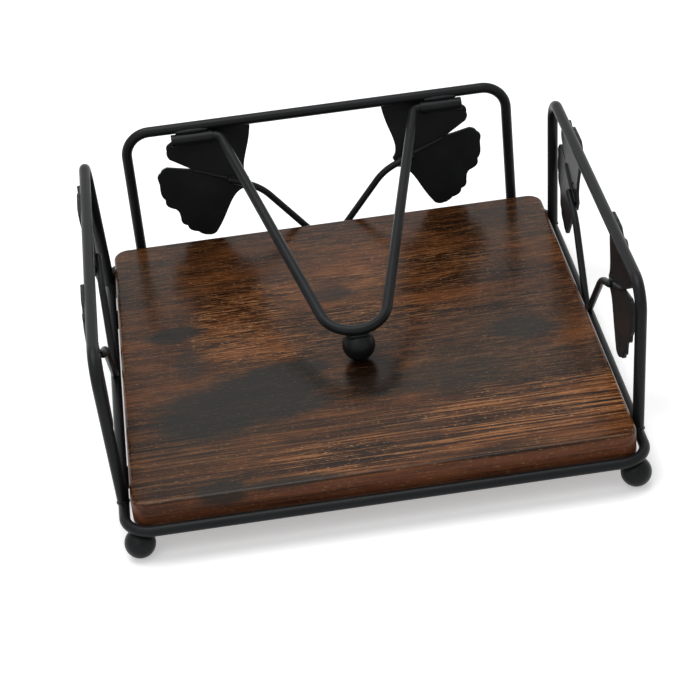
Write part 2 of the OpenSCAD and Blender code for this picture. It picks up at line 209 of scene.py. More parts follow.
class Field:
    """A number in a node tree, which varies over the surface."""

    def __init__(self, tree, socket):
        self.tree = tree
        self.socket = socket

    def calc(self, operation, *values):
        return calc(self.tree, operation, self, *values)

    def __add__(self, other):
        return self.calc("ADD", other)

    def __sub__(self, other):
        return self.calc("SUBTRACT", other)

    def __mul__(self, other):
        return self.calc("MULTIPLY", other)

    def __truediv__(self, other):
        return self.calc("DIVIDE", other)

    def __pow__(self, other):
        return self.calc("POWER", other)

    def __rsub__(self, other):
        return calc(self.tree, "SUBTRACT", other, self)

    __radd__ = __add__

# %% [markdown]
# ## Black powder coat
# The wire parts are dipped in degreaser, dusted with dry black powder and baked.
# The film is satin, not quite even, and has the fine ripple that is called
# orange peel. A flat black would look like a hole in the picture, so the colour,
# the roughness and the bump each get their own noise, at the scale of the real
# film: ripples of about a millimetre, and clouds of a few centimetres. On the flat
# leaves the coat's colour is painted 1.6 times paler than on the wires.

# %% Helpers for materials
def vector_math(tree, operation, *values):
    return add(tree, "ShaderNodeVectorMath", dict(enumerate(values)), operation=operation)


def distance(tree, offset):
    """The length of a vector."""
    return Field(tree, vector_math(tree, "LENGTH", offset).outputs["Value"])


def axes_of(tree, vector):
    """The X, Y and Z of a vector as fields."""
    return [Field(tree, part) for part in add(tree, "ShaderNodeSeparateXYZ", {0: vector}).outputs]


def object_place(tree):
    """The place on the piece in millimetres."""
    here = add(tree, "ShaderNodeTexCoord").outputs["Object"]
    return vector_math(tree, "MULTIPLY", here, (1 / MM, 1 / MM, 1 / MM)).outputs[0]


def noise(tree, place, size, detail=3.0, roughness=0.55):
    """Noise with blobs of the given size in mm; three sizes stretch it along X, Y and Z."""
    size = size if isinstance(size, tuple) else (size, size, size)
    scaled = vector_math(tree, "DIVIDE", place, size).outputs[0]
    made = add(tree, "ShaderNodeTexNoise",
               {"Vector": scaled, "Scale": 1.0, "Detail": detail, "Roughness": roughness})
    return Field(tree, made.outputs["Fac"])


def spread(field, low, high, new_low=0.0, new_high=1.0):
    """Maps a field from one range to another with soft ends."""
    made = add(field.tree, "ShaderNodeMapRange",
               {"Value": field, "From Min": low, "From Max": high,
                "To Min": new_low, "To Max": new_high},
               interpolation_type="SMOOTHSTEP")
    return Field(field.tree, made.outputs[0])


def blend_colour(tree, share, low, high):
    """Goes from one colour to another as share goes from 0 to 1."""
    return add(tree, "ShaderNodeMix", {0: share, 6: low, 7: high}, data_type="RGBA").outputs[2]


def new_material(name, specular, **settings):
    """An empty material: its tree, its surface shader and the material itself."""
    made = bpy.data.materials.new(name)
    made.use_nodes = True
    shader = made.node_tree.nodes["Principled BSDF"]
    shader.inputs["Specular IOR Level"].default_value = specular
    for key, value in settings.items():
        shader.inputs[key.replace("_", " ").title()].default_value = value
    return made, made.node_tree, shader


def set_bump(tree, shader, height, depth, strength=1.0):
    """Raises the surface by a field; depth is in metres."""
    bump = add(tree, "ShaderNodeBump", {"Height": height, "Distance": depth, "Strength": strength})
    tree.links.new(bump.outputs[0], shader.inputs["Normal"])

# %% The powder coat
COAT_DARK = (0.0048, 0.0054, 0.0060, 1)
COAT_LIGHT = (0.0082, 0.0090, 0.0098, 1)
SHEET_SHARE = 1.6
PEEL_SIZE = 0.9
PEEL_DEPTH = 0.03 * MM


def powder_coat(name, share=1.0):
    """The coat; share brightens it."""
    made, tree, shader = new_material(name, specular=0.13)
    place = object_place(tree)
    cloud = noise(tree, place, 22)
    grit = noise(tree, place, 0.5, detail=2)
    peel = noise(tree, place, PEEL_SIZE, detail=2)
    tone = spread(cloud * 0.7 + grit * 0.3, 0.35, 0.65)
    dark, light = ([value * share for value in colour[:3]] + [1]
                   for colour in (COAT_DARK, COAT_LIGHT))
    plug(tree, shader.inputs["Base Color"], blend_colour(tree, tone, dark, light))
    plug(tree, shader.inputs["Roughness"], spread(cloud * 0.5 + grit * 0.5, 0.3, 0.7, 0.3, 0.44))
    set_bump(tree, shader, peel, PEEL_DEPTH, 0.7)
    return made


black_coat = powder_coat("black_powder_coat")
sheet_coat = powder_coat("black_powder_coat_on_sheet", share=SHEET_SHARE)
print("finishes:", black_coat.name, "and", sheet_coat.name)

# %% [markdown]
# ## Zinc on the screws
# The screws below the board are plain zinc-plated steel. Zinc is a soft grey
# metal with a faint blue tint and small clouds where the bath took unevenly. One
# grey would do for heads that are rarely seen, but without the clouds they look
# like plastic, and one noise is cheap.

# %% The zinc plate
ZINC_DARK = (0.36, 0.37, 0.39, 1)
ZINC_LIGHT = (0.52, 0.52, 0.53, 1)


def zinc_plate(name):
    made, tree, shader = new_material(name, specular=0.5, metallic=1.0)
    place = object_place(tree)
    cloud = noise(tree, place, 2.5)
    tone = blend_colour(tree, spread(cloud, 0.35, 0.65), ZINC_DARK, ZINC_LIGHT)
    plug(tree, shader.inputs["Base Color"], tone)
    plug(tree, shader.inputs["Roughness"], spread(cloud, 0.3, 0.7, 0.28, 0.45))
    set_bump(tree, shader, noise(tree, place, 0.3), 0.01 * MM, 0.5)
    return made


zinc = zinc_plate("zinc_plate")
print("finish:", zinc.name)

# %% [markdown]
# ## Rustic wood
# The board is a dark stained wood with a rustic print: a dark brown ground, fine
# straight lines of tan from left to right with dark gaps between them, and
# charcoal clouds that look rubbed in. A picture of wood would need unwrapping and
# would show its repeats, so every line is noise that is stretched along X and
# squeezed along Y and Z, which also takes it round the rim. The print isn't the
# same all over, so lists give the places where it is charcoal, where it is
# greyish and where the tan lines glow. One charcoal cloud is a painted reflection
# of the arm's ball, and a fourth list holds painted shade: the dark reflections of
# the ball, the wires and the leaves, and the shade where the ball touches, where
# the colour goes nearly black. Each place is a soft ellipse, and a second noise
# frays its edge.

# %% Colours and places of the wood
WOOD_DARK = (0.0078, 0.0032, 0.0015, 1)
WOOD_BROWN = (0.054, 0.0178, 0.0050, 1)
WOOD_WARM = (0.120, 0.0385, 0.0095, 1)
LINE_TAN = (0.36, 0.158, 0.058, 1)
FLECK_PALE = (0.52, 0.30, 0.16, 1)
RIM_BROWN = (0.125, 0.041, 0.018, 1)
CHARCOAL = (0.0096, 0.0102, 0.0086, 1)
HAZE_BROWN = (0.029, 0.0165, 0.0085, 1)
# The front stripes begin at the first Y and are full at the second, in mm
FRONT_FROM, FRONT_FULL = -38.0, -58.0
# Centre X, centre Y, half length and half width of each place, in mm, and its strength
# The last cloud, at X 3 and Y -33, is a painted reflection of the arm's ball; the others are
# charcoal clouds of the print
CLOUDS_AND_PAINTED_REFLECTION = [
    (-42, -35, 33, 16, 1.0), (-60, -46, 20, 12, 1.0), (-27, -22, 18, 9, 1.0),
    (-68, 16, 11, 5.5, 1.0), (-64, -6, 5, 14, 0.55), (-5, 30, 8, 6, 0.8),
    (27, -38, 26, 10, 0.6), (64, -12, 14, 8, 0.85), (-58, -89, 10, 5, 0.9),
    (-35, -90, 17, 2.5, 0.8), (14, -72, 9, 8, 0.45), (3, -33, 12, 12, 0.9),
]
HAZES = [
    (40, -35, 44, 15, 0.8), (62, -10, 24, 12, 0.5), (-80, 68, 16, 16, 0.7),
    (74, 64, 18, 16, 0.5), (-52, -62, 24, 12, 0.5), (-64, -80, 24, 8, 0.3),
]
# Painted dark reflections of the ball, the wires and the leaves on the board, and painted shade
# where the ball touches it
PAINTED_REFLECTIONS_AND_SHADE = [
    (3.5, -24, 11, 11, 0.95), (1, -37, 15, 6, 0.6), (-30, 62, 16, 12, 0.4),
    (28, -20, 18, 5, 0.35), (60, 30, 22, 8, 0.35), (62, 74, 26, 8, 0.45),
    (-52, 74, 20, 8, 0.35),
]
GLOWS = [
    (62, -66, 52, 17, 1.0), (28, -76, 42, 9, 0.8), (-44, 12, 20, 26, 0.8),
    (-30, 34, 14, 12, 0.7), (-10, -78, 26, 11, 0.9), (10, 10, 26, 14, 0.5),
    (-34, -4, 26, 10, 0.7), (30, 40, 30, 14, 0.4),
]


def places_mask(tree, place, places, frayed):
    """1 inside some soft ellipses and 0 outside, with frayed edges."""
    mask = None
    for x, y, half_x, half_y, strength in places:
        off = vector_math(tree, "SUBTRACT", place, (x, y, BOARD_TOP / MM)).outputs[0]
        off = vector_math(tree, "DIVIDE", off, (half_x, half_y, half_y)).outputs[0]
        one = spread(distance(tree, off) + frayed, 1.3, 0.7, 0.0, strength)
        mask = one if mask is None else mask.calc("MAXIMUM", one)
    return mask

# %% The rustic wood
def rustic_wood(name):
    made, tree, shader = new_material(name, specular=0.15)
    place = object_place(tree)
    x, y, z = axes_of(tree, place)
    # The grain isn't quite straight: a slow noise pushes it to and fro
    wavy = y + (noise(tree, place, (120, 34, 34)) - 0.5) * 4
    grain = add(tree, "ShaderNodeCombineXYZ", {0: x, 1: wavy, 2: z}).outputs[0]
    broad = noise(tree, grain, (48, 15, 15))
    band = noise(tree, grain, (90, 3.2, 3.2), detail=3)
    stripe = noise(tree, grain, (52, 0.9, 0.9), detail=2)
    fibre = noise(tree, grain, (5, 0.48, 0.48), detail=4, roughness=0.6)
    strand = noise(tree, grain, (16, 0.62, 0.62), detail=3, roughness=0.6)
    fleck = noise(tree, grain, (1.9, 0.4, 0.4), detail=2)
    frayed = (noise(tree, grain, (22, 6, 6), detail=5) - 0.5) * 1.2 + (fibre - 0.5) * 0.5
    clouds_and_painted_reflection, haze, painted_reflection_and_shade, glow = (
        places_mask(tree, place, places, frayed) for places in (CLOUDS_AND_PAINTED_REFLECTION, HAZES, PAINTED_REFLECTIONS_AND_SHADE, GLOWS))
    rim = spread(z, BOARD_TOP / MM - 0.4, BOARD_TOP / MM - 1.6)
    # The ground: dark and brown bands, then warm patches, haze, the rim, and the charcoal clouds
    # with the painted reflection of the ball
    bands = spread(broad * 0.45 + band * 0.55, 0.34, 0.6)
    body = blend_colour(tree, bands, WOOD_DARK, WOOD_BROWN)
    body = blend_colour(tree, spread(broad + glow * 0.12, 0.5, 0.72) * 0.8, body, WOOD_WARM)
    body = blend_colour(tree, haze * 0.8, body, HAZE_BROWN)
    body = blend_colour(tree, rim * spread(band, 0.3, 0.6, 0.45, 0.85), body, RIM_BROWN)
    body = blend_colour(tree, clouds_and_painted_reflection * 0.93, body, CHARCOAL)
    # The lines: near the front edge long stripes take over from the short fibres
    front = spread(y + frayed * 8, FRONT_FROM, FRONT_FULL)
    weave = fibre * (0.45 - front * 0.2) + strand * (0.55 - front * 0.4) + stripe * (front * 0.6)
    lines = spread(weave, 0.505, 0.585) * (0.19 + glow * 0.44)
    # The painted reflections and shade dim the tan lines
    lines = lines * (1.0 - clouds_and_painted_reflection * 0.9) * (1.0 - rim * 0.75) * (1.0 - painted_reflection_and_shade * 0.7)
    body = blend_colour(tree, lines, body, LINE_TAN)
    flecks = spread(fleck, 0.62, 0.72) * (0.34 + glow * 0.4) * (1.0 - clouds_and_painted_reflection * 0.7)
    body = blend_colour(tree, flecks, body, FLECK_PALE)
    gaps = spread(weave, 0.485, 0.42) * (0.52 + glow * 0.45) * (1.0 - clouds_and_painted_reflection * 0.6)
    # The painted reflections and shade also turn most of the weave into dark gaps
    gaps = gaps.calc("MAXIMUM", painted_reflection_and_shade * spread(weave, 0.62, 0.5))
    body = blend_colour(tree, gaps, body, WOOD_DARK)
    plug(tree, shader.inputs["Base Color"], body)
    plug(tree, shader.inputs["Roughness"], spread(fibre, 0.3, 0.7, 0.17, 0.27) + rim * 0.2)
    set_bump(tree, shader, weave, 0.08 * MM, 0.5)
    return made


wood = rustic_wood("rustic_wood")
print("finish:", wood.name, "with", len(CLOUDS_AND_PAINTED_REFLECTION), "clouds_and_painted_reflection")

# %% [markdown]
# ## From nodes or bmesh to a finished piece
# Every piece ends the same way: a plain closed mesh with outward faces, smooth
# shading that breaks at sharp edges, an object at the origin, a body to ride on
# and the CAD nodes that it stands for. Two short helpers do that, so that each
# cell below only says what is special about its piece.

# %% Finishing helpers
SHARP = radians(40)
tally = {}


def outward(mesh, merge=0.0):
    """Turns all faces of closed shells outwards."""
    work = bmesh.new()
    work.from_mesh(mesh)
    if merge:
        bmesh.ops.remove_doubles(work, verts=work.verts, dist=merge)
    bmesh.ops.recalc_face_normals(work, faces=work.faces)
    work.to_mesh(mesh)
    work.free()
    return mesh


def finish_piece(name, mesh, material, body, replaces=()):
    """Makes the mesh a piece of the holder."""
    mesh.name = name
    outward(mesh)
    mesh.materials.clear()
    mesh.materials.append(material)
    mesh.shade_smooth()
    mesh.set_sharp_from_angle(angle=SHARP)
    piece = bpy.data.objects.new(name, mesh)
    bpy.context.scene.collection.objects.link(piece)
    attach(piece, body)
    if replaces:
        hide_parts(*replaces)
    mesh.calc_loop_triangles()
    tally[name] = len(mesh.loop_triangles)
    return piece


def joined(meshes):
    """One mesh from several, which are removed."""
    work = bmesh.new()
    for mesh in meshes:
        work.from_mesh(mesh)
        bpy.data.meshes.remove(mesh)
    made = bpy.data.meshes.new("joined")
    work.to_mesh(made)
    work.free()
    return outward(made)


def evaluated(source):
    """The plain mesh of an object after its modifiers; the object is removed."""
    bpy.context.view_layer.update()
    graph = bpy.context.evaluated_depsgraph_get()
    mesh = bpy.data.meshes.new_from_object(source.evaluated_get(graph), depsgraph=graph)
    data = source.data
    bpy.data.objects.remove(source)
    if isinstance(data, bpy.types.Mesh):
        bpy.data.meshes.remove(data)
    return mesh


def linked(data, name="work"):
    made = bpy.data.objects.new(name, data)
    bpy.context.scene.collection.objects.link(made)
    return made

# %% [markdown]
# ## Bent wire
# A wire bender works from a list of corners and a bend radius for each, and the
# tree does the same. Its input is a chain of edges whose corners carry a number
# named bend. Fillet Curve rounds each corner to its radius and Curve to Mesh
# sweeps a circle along the path. A second number, thick, thins the wire at a
# free end to a dome. Sweeping keeps the section round in the bends, where a
# subdivided box frame would pinch.

# %% The bent wire tree
GEOMETRY, NUMBER, COUNT, FINISH = (
    "NodeSocketGeometry", "NodeSocketFloat", "NodeSocketInt", "NodeSocketMaterial")
WIRE_SIDES = 32
BEND_STEPS = 20


def new_tree(name, inputs):
    """An empty geometry tree with a geometry input, named inputs and one output."""
    tree = bpy.data.node_groups.new(name, "GeometryNodeTree")
    tree.interface.new_socket("Geometry", in_out="INPUT", socket_type=GEOMETRY)
    for label, kind in inputs.items():
        tree.interface.new_socket(label, in_out="INPUT", socket_type=kind)
    tree.interface.new_socket("Geometry", in_out="OUTPUT", socket_type=GEOMETRY)
    return tree, add(tree, "NodeGroupInput").outputs


def end_tree(tree, geometry, finish):
    """Every tree ends in real geometry that has its material."""
    real = add(tree, "GeometryNodeRealizeInstances", {0: geometry}).outputs[0]
    dressed = add(tree, "GeometryNodeSetMaterial", {"Geometry": real, "Material": finish})
    add(tree, "NodeGroupOutput", {0: dressed.outputs[0]})


def number_on_point(tree, name):
    """A number that the input's points carry."""
    made = add(tree, "GeometryNodeInputNamedAttribute", {"Name": name}, data_type="FLOAT")
    return Field(tree, made.outputs["Attribute"])


def without_numbers(tree, geometry):
    """Drops the path's two numbers, which the finished piece doesn't need."""
    for name in ("bend", "thick"):
        geometry = add(tree, "GeometryNodeRemoveAttribute",
                       {"Geometry": geometry, "Name": name}).outputs[0]
    return geometry


def bent_wire_tree():
    tree, given = new_tree("bent_wire", {
        "Wire radius": NUMBER, "Sides": COUNT, "Bend steps": COUNT, "Finish": FINISH})
    path = add(tree, "GeometryNodeMeshToCurve", {0: given["Geometry"]}).outputs[0]
    bends = add(tree, "GeometryNodeFilletCurve",
                {"Curve": path, "Count": given["Bend steps"], "Limit Radius": True,
                 "Radius": number_on_point(tree, "bend")}, mode="POLY").outputs[0]
    ring = add(tree, "GeometryNodeCurvePrimitiveCircle",
               {"Resolution": given["Sides"], "Radius": given["Wire radius"]}).outputs[0]
    wire = add(tree, "GeometryNodeCurveToMesh",
               {"Curve": bends, "Profile Curve": ring, "Scale": number_on_point(tree, "thick"),
                "Fill Caps": True}).outputs[0]
    end_tree(tree, without_numbers(tree, wire), given["Finish"])
    return tree


BENT_WIRE = bent_wire_tree()

# %% [markdown]
# A modifier's inputs are set by the identifier of their socket, because names
# may repeat. The path is a small mesh of points and edges with its two numbers,
# and the result comes back as a plain mesh.

# %% Running a tree on a path
def path_object(corners, closed=False):
    """A chain of edges; a corner is (point, bend) or (point, bend, thick)."""
    mesh = bpy.data.meshes.new("path")
    count = len(corners)
    edges = [(i, i + 1) for i in range(count - 1)] + ([(count - 1, 0)] if closed else [])
    mesh.from_pydata([corner[0] for corner in corners], edges, [])
    bend = mesh.attributes.new("bend", "FLOAT", "POINT")
    thick = mesh.attributes.new("thick", "FLOAT", "POINT")
    for i, corner in enumerate(corners):
        bend.data[i].value = corner[1]
        thick.data[i].value = corner[2] if len(corner) > 2 else 1.0
    return linked(mesh)


def run_tree(source, tree, **values):
    """The mesh that a tree makes from an object, with the inputs set by identifier."""
    modifier = source.modifiers.new("tree", "NODES")
    modifier.node_group = tree
    for item in tree.interface.items_tree:
        key = item.name.lower().replace(" ", "_")
        if item.in_out == "INPUT" and key in values:
            modifier[item.identifier] = values[key]
    return evaluated(source)


def dome(end, before, wire, steps=5):
    """Corners that round a free wire end from the point before it."""
    along = (end - before).normalized()
    start = end - along * wire / 2
    turns = [pi / 2 * i / steps for i in range(steps + 1)]
    return [(start + along * sin(a) * wire / 2, 0.0, max(cos(a), 0.03)) for a in turns]


def wire_mesh(corners, wire, closed=False, sides=WIRE_SIDES):
    """A wire of one thickness along a path of corners."""
    return run_tree(path_object(corners, closed), BENT_WIRE, wire_radius=wire / 2,
                    sides=sides, bend_steps=BEND_STEPS, finish=black_coat)

# %% [markdown]
# ## Base ring
# The ring is one wire, bent at four corners and butt-welded at the middle of the
# back, where it shows least. A torus would have no straight sides, and a bevelled
# frame no round section, so four corners go through the wire tree as a closed
# path. The butt weld is ground flush and needs no shape of its own.

# %% The base ring
ring_corners = [
    (Vector((sx * RING_HALF_X, RING_Y + sy * RING_HALF_Y, RING_Z)), RING_BEND)
    for sx, sy in ((-1, -1), (1, -1), (1, 1), (-1, 1))
]
finish_piece("ring_wire", wire_mesh(ring_corners, RING_WIRE, closed=True),
             black_coat, "holder", ["base_ring"])
print("ring:", tally["ring_wire"], "triangles")

# %% [markdown]
# ## Hoops
# Each hoop is an upside-down U. Its legs start inside the ring's wire, where the
# weld hides their cut ends. The three differ only in their plane and their width,
# so one function bends them all.

# %% The three hoops
def hoop(name, plane, half):
    corners = [((-half, 0, 0), 0.0), ((-half, 0, RAIL_H), HOOP_BEND),
               ((half, 0, RAIL_H), HOOP_BEND), ((half, 0, 0), 0.0)]
    placed = [(plane @ Vector(at), bend) for at, bend in corners]
    finish_piece(name + "_hoop_wire", wire_mesh(placed, HOOP_WIRE), black_coat,
                 "holder", [name + "_hoop"])


HOOPS = [("back", BACK, BACK_HALF), ("left", LEFT, SIDE_HALF), ("right", RIGHT, SIDE_HALF)]
for name, plane, half in HOOPS:
    hoop(name, plane, half)
print("hoops:", [name for name in tally if "hoop" in name])

# %% [markdown]
# ## Stems
# A stem leaves the ring at a steep slope, bends once and runs up along the leaf,
# where its domed end is welded on. A hand-drawn curve would never have the bender's
# even radius, so its path has a single corner: the point where its two straight
# runs would meet.

# %% The six stems
LEAVES = [
    ("back_left", BACK, -1, BACK_LEAF_X), ("back_right", BACK, 1, BACK_LEAF_X),
    ("left_front", LEFT_PAIR, -1, SIDE_LEAF_X), ("left_rear", LEFT_PAIR, 1, SIDE_LEAF_X),
    ("right_front", RIGHT_PAIR, 1, SIDE_LEAF_X), ("right_rear", RIGHT_PAIR, -1, SIDE_LEAF_X),
]


def along_stem(side, base_x, reach):
    """A point of a stem's upper run in its hoop's plane, at a reach from the leaf's base."""
    return Vector((side * (base_x + reach * cos(LEAF_SLOPE)), 0,
                   LEAF_BASE_H + reach * sin(LEAF_SLOPE)))


def stem_corners(side, base_x):
    """Foot, corner and lap end of a stem, in its hoop's plane."""
    tangent = STEM_BEND * tan((STEM_SLOPE - LEAF_SLOPE) / 2)
    corner = along_stem(side, base_x, -tangent)
    foot = Vector((corner.x - side * corner.z / tan(STEM_SLOPE), 0, 0))
    return foot, corner, along_stem(side, base_x, STEM_LAP)


def stem(name, plane, side, base_x):
    foot, corner, lap = (plane @ point for point in stem_corners(side, base_x))
    corners = [(foot, 0.0), (corner, STEM_BEND)] + dome(lap, corner, STEM_WIRE)
    finish_piece("stem_wire_" + name, wire_mesh(corners, STEM_WIRE, sides=24), black_coat,
                 "holder", ["stem_" + name])


for leaf in LEAVES:
    stem(*leaf)
print("stems:", len(LEAVES))

# %% [markdown]
# ## Ginkgo leaves
# A leaf is cut from sheet steel: a fan of two lobes with a notch between them
# and a scalloped edge. Its outline follows a rule, so a tree makes it. The tree
# takes a square grid, reads each point as a share of the way along the edge and
# a share of the way out from the base, and bends the grid into one lobe by
# polar arithmetic. The scallops are cut by hand, so their rhythm and their depth
# wander, and each lobe has one narrow dip. The other lobe is its mirror image,
# but for its top, which is trimmed so that it hides behind the rail. Solidify and
# Bevel then give the plate its thickness and its soft, coated rim.

# %% The leaf tree
# Along the edge, from the notch at 0 to the outer corner at 1: where the narrow dip
# lies and how wide it is, and over what share the two tips are rounded
DIP_AT, DIP_HALF = 0.5, 0.07
TIP_SHARE, TAIL_SHARE = 0.12, 0.1
# How much narrower the leaf is at its waist, and how far its top gives way to the rail
WAIST_SHARE = 0.45
RAIL_TRIM = 0.85


def at_least(field, value):
    return field.calc("MAXIMUM", value)


def moved(tree, grid, x, y, z):
    """The grid with each point at its own new place."""
    place = add(tree, "ShaderNodeCombineXYZ", {0: x, 1: y, 2: z}).outputs[0]
    return add(tree, "GeometryNodeSetPosition", {"Geometry": grid, "Position": place}).outputs[0]


def leaf_tree():
    tree, given = new_tree("ginkgo_leaf", {
        "Reach": NUMBER, "Corner reach": NUMBER, "Notch reach": NUMBER, "Spread": NUMBER,
        "Notch spread": NUMBER, "Scallops": NUMBER, "Scallop depth": NUMBER, "Dip depth": NUMBER,
        "Tip drop": NUMBER, "Tail drop": NUMBER, "Neck": NUMBER, "Ripple": NUMBER,
        "Slope": NUMBER, "Rail height": NUMBER, "Edge steps": COUNT, "Rows": COUNT,
        "Finish": FINISH})
    size = {label: Field(tree, given[label]) for label in given.keys()
            if label not in ("Geometry", "")}
    grid = add(tree, "GeometryNodeMeshGrid",
               {"Size X": 1.0, "Size Y": 1.0, "Vertices X": given["Edge steps"],
                "Vertices Y": given["Rows"]}).outputs[0]
    place = add(tree, "GeometryNodeInputPosition").outputs[0]
    x, y = axes_of(tree, place)[:2]
    t, v = x + 0.5, y + 0.5
    # The edge: scallops of uneven rhythm and depth, a dip and two round tips
    wander = (t * 5.3 + 0.9).calc("SINE") * 0.35 + (t * 12.1).calc("SINE") * 0.2
    wave = ((t * size["Scallops"] + wander) * pi).calc("SINE").calc("ABSOLUTE") ** 0.8
    deep = 0.7 + (t * 17.0 + 2.0).calc("SINE") * 0.45
    dip = calc(tree, "EXPONENT", ((t - DIP_AT) / DIP_HALF) ** 2.0 * -1.0)
    tip = at_least(1.0 - t / TIP_SHARE, 0.0) ** 2.0
    tail = at_least((t - 1.0) / TAIL_SHARE + 1.0, 0.0) ** 2.0
    edge = (size["Reach"] + (size["Corner reach"] - size["Reach"]) * t
            + wave * deep * size["Scallop depth"] - dip * size["Dip depth"]
            - tip * size["Tip drop"] - tail * size["Tail drop"])
    radius = edge * v
    # The sides: the notch opens beyond its reach, and the outer side has a waist
    notch_slope = size["Reach"] * size["Notch spread"] / (size["Reach"] - size["Notch reach"])
    notch_y = at_least(radius - size["Notch reach"], 0.0) * notch_slope
    inner = notch_y / at_least(radius, MM)
    waist = (1.0 - v) ** 2.5
    outer = size["Spread"] * (1.0 - waist * WAIST_SHARE)
    angle = inner + (outer - inner) * t
    neck = size["Neck"] * 0.5 * t * (1.0 - v) ** 4.0
    ripple = add(tree, "ShaderNodeTexNoise", {"Vector": place, "Scale": 3.0, "Detail": 1.0})
    lift = (Field(tree, ripple.outputs[0]) - 0.5) * size["Ripple"] * v * t.calc("MINIMUM", 1.0)
    along, across = radius * angle.calc("COSINE"), radius * angle.calc("SINE") + neck
    # The lower lobe is the mirror image; the upper one gives way to the rail
    twin = add(tree, "GeometryNodeTransform",
               {"Geometry": moved(tree, grid, along, across, lift), "Scale": (1, -1, 1)})
    rise, run = size["Slope"].calc("SINE"), size["Slope"].calc("COSINE")
    trim = at_least(along * rise + across * run - size["Rail height"], 0.0) * RAIL_TRIM
    lobe = moved(tree, grid, along - trim * rise, across - trim * run, lift)
    both = add(tree, "GeometryNodeJoinGeometry")
    tree.links.new(lobe, both.inputs[0])
    tree.links.new(twin.outputs[0], both.inputs[0])
    leaf = add(tree, "GeometryNodeMergeByDistance",
               {"Geometry": both.outputs[0], "Distance": 0.02 * MM}).outputs[0]
    end_tree(tree, leaf, given["Finish"])
    return tree


LEAF = leaf_tree()

# %% A leaf plate with its vein
VEIN_D = 1.8 * MM
VEIN_TAPER = 0.12
VEIN_TIP = 0.12
LEAF_RIM = 0.4 * MM


def leaf_plate():
    """A flat leaf in its own plane: its middle line along X, its inner face at Z 0."""
    sheet = run_tree(linked(bpy.data.meshes.new("seed")), LEAF,
                     reach=38 * MM, corner_reach=28 * MM, notch_reach=NOTCH_REACH,
                     spread=radians(76), notch_spread=radians(4), scallops=9.0,
                     scallop_depth=0.9 * MM, dip_depth=2 * MM, tip_drop=4.8 * MM,
                     tail_drop=2.6 * MM, neck=4.6 * MM, ripple=0.4 * MM, slope=LEAF_SLOPE,
                     rail_height=RAIL_H - LEAF_BASE_H + 0.2 * MM,
                     edge_steps=109, rows=24, finish=black_coat)
    plate = linked(outward(sheet))
    if plate.data.polygons[0].normal.z < 0:
        plate.data.flip_normals()
    wall = plate.modifiers.new("wall", "SOLIDIFY")
    wall.thickness, wall.offset = LEAF_T, 0
    rim = plate.modifiers.new("rim", "BEVEL")
    rim.width, rim.segments, rim.use_clamp_overlap = LEAF_RIM, 3, True
    rim.limit_method, rim.angle_limit = "ANGLE", radians(50)
    return evaluated(plate)


def leaf_matrix(plane, side, base_x):
    """Takes a flat leaf to its place, where it lies on its stem and leans on the rail."""
    mirror = Matrix.Diagonal((side, 1, 1, 1))
    return (plane @ mirror @ Matrix.Translation((base_x, 0, LEAF_BASE_H))
            @ Matrix.Rotation(-LEAF_LEAN, 4, "X")
            @ Matrix.Translation((0, LEAF_OFF + LEAF_T / 2, 0))
            @ Matrix.Rotation(pi / 2, 4, "X") @ Matrix.Rotation(LEAF_SLOPE, 4, "Z"))


def vein_mesh(steps=12):
    """The raised vein from the stem's lap to the notch, where it ends bluntly."""
    start, end = STEM_LAP - 1 * MM, NOTCH_REACH - 0.6 * MM
    out = LEAF_T / 2 + 0.1 * MM
    shares = [i / steps for i in range(steps)]
    corners = [(Vector((start + (end - start) * share, 0, out)), 0.0, 1.0 - VEIN_TAPER * share)
               for share in shares]
    return wire_mesh(corners + [(Vector((end, 0, out)), 0.0, VEIN_TIP)], VEIN_D, sides=16)


plate = leaf_plate()
vein = vein_mesh()
for name, plane, side, base_x in LEAVES:
    place = leaf_matrix(plane, side, base_x)
    parts = [plate.copy(), vein.copy()]
    for part in parts:
        part.transform(place)
    finish_piece("ginkgo_leaf_" + name, joined(parts), sheet_coat,
                 "holder", ["leaf_" + name])
print("leaf:", tally["ginkgo_leaf_back_left"], "triangles each")

# %% [markdown]
# ## Press arm
# The arm is the one piece that moves. It is laid out flat in its plane, like the
# hoops, because there each corner is two plain numbers: a pin, a tight bend, a
# leg, the round bend that carries the ball, and back. The corner of the round
# bend is the point where the two legs would cross.

# %% The press arm
arm_apex = ARM_HALF / tan(LEG_ANGLE)
pin_end = SLEEVE_END - PIN_SHORT
arm_layout = [
    (-pin_end, 0, 0.0), (-ARM_HALF, 0, PIN_BEND), (0, arm_apex, ARM_BEND),
    (ARM_HALF, 0, PIN_BEND), (pin_end, 0, 0.0)]
arm_corners = [(ARM @ Vector((x, y, 0)), bend) for x, y, bend in arm_layout]
finish_piece("press_arm_wire", wire_mesh(arm_corners, ARM_WIRE), black_coat,
             "arm", ["press_arm"])
print("arm:", tally["press_arm_wire"], "triangles")

# %% [markdown]
# ## Weld beads
# A weld is a small bead of steel that froze as the torch moved on, so it is
# lumpy, and the powder coat rounds it further. The tree sweeps a circle along
# the seam, with a noise that swells and thins it. The noise reads the place in
# space, so two beads are never alike, and the seed is fixed.

# %% The weld bead tree
BEAD_SIDES = 14


